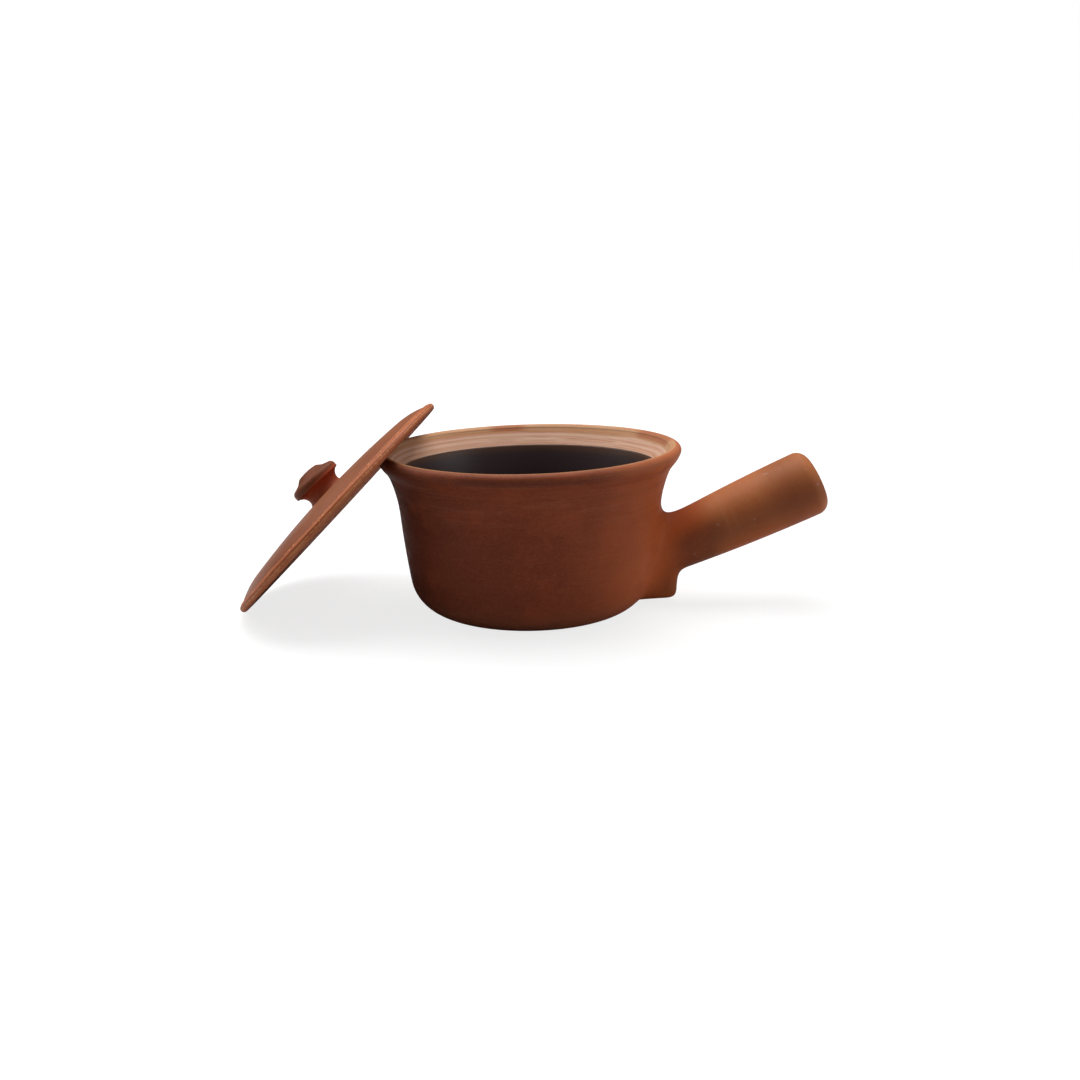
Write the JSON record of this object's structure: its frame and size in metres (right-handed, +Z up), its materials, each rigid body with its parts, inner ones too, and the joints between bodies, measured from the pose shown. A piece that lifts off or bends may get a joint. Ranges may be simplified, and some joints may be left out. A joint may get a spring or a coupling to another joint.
{
  "type": "sand pot with lid",
  "caption": "Round clay saucepan with flared rolled lip, raised hollow stick handle on a small foot block, dark glazed inside, and a loose knobbed lid leaning on its rim.",
  "frame": {"origin": "centre of the pot's flat base, on the surface that it stands on", "axes": "+Z up, +X from the pot's axis towards the handle's end, so that the lid leans on the -X side; +Y completes the right-handed frame"},
  "size_m": [0.3918, 0.2017, 0.1357],
  "materials": {
    "terracotta": "matte unglazed red clay with fine turning marks",
    "burnished_terracotta": "burnished unglazed clay, slightly paler and smoother than the pot",
    "dark_glaze": "semi-gloss brown-black glaze"
  },
  "bodies": {
    "pot": {"bowl": "terracotta", "inner_glaze": "dark_glaze", "stick_handle": "terracotta", "handle_root_and_foot": "terracotta"},
    "lid": {"lid_dome": "burnished_terracotta", "lid_knob": "burnished_terracotta"}
  },
  "joints": [
    {"name": "lid_lift", "type": "slide", "parent": "pot", "child": "lid", "axis": [0, 0, 1], "range_m": [0, 0.12]}
  ]
}
